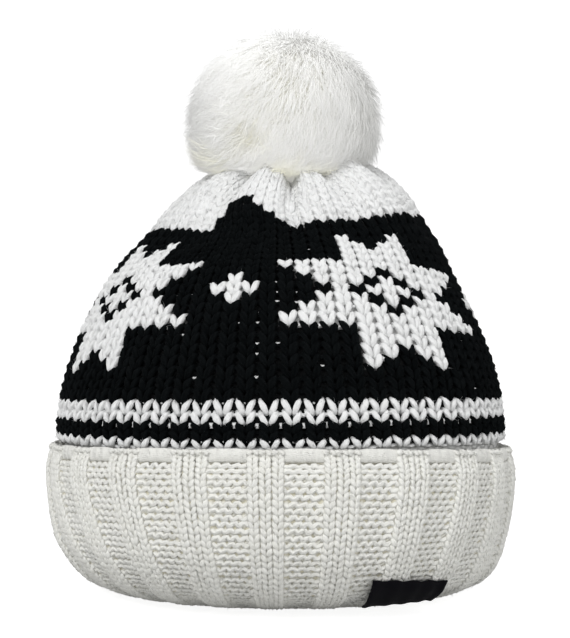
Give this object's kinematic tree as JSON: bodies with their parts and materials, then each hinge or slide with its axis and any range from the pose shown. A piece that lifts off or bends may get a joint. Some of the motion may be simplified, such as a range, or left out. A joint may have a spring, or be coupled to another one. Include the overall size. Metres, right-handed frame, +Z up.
{
  "type": "knitted pompom beanie",
  "caption": "Chunky knitted beanie with a turned-up ribbed cuff, star-patterned crown gathered at the top, and a fur pompom.",
  "frame": {"origin": "centre of the rim's circle on the surface the hat stands on, z = 0 at the rim's contact", "axes": "+Z up to the pompom, the hat's front faces -Y, the label is on the +X side of the front"},
  "size_m": [0.2076, 0.2076, 0.2461],
  "materials": {
    "black_yarn": "soft matte knitted yarn",
    "white_yarn": "soft matte knitted yarn",
    "fur": "long soft pile",
    "tie_yarn": "matte yarn",
    "label_weave": "fine satin weave"
  },
  "bodies": {
    "root": {"crown": "black_yarn", "cuff": "white_yarn", "pompom": "fur", "pompom_tie": "tie_yarn", "label": "label_weave"}
  },
  "joints": []
}
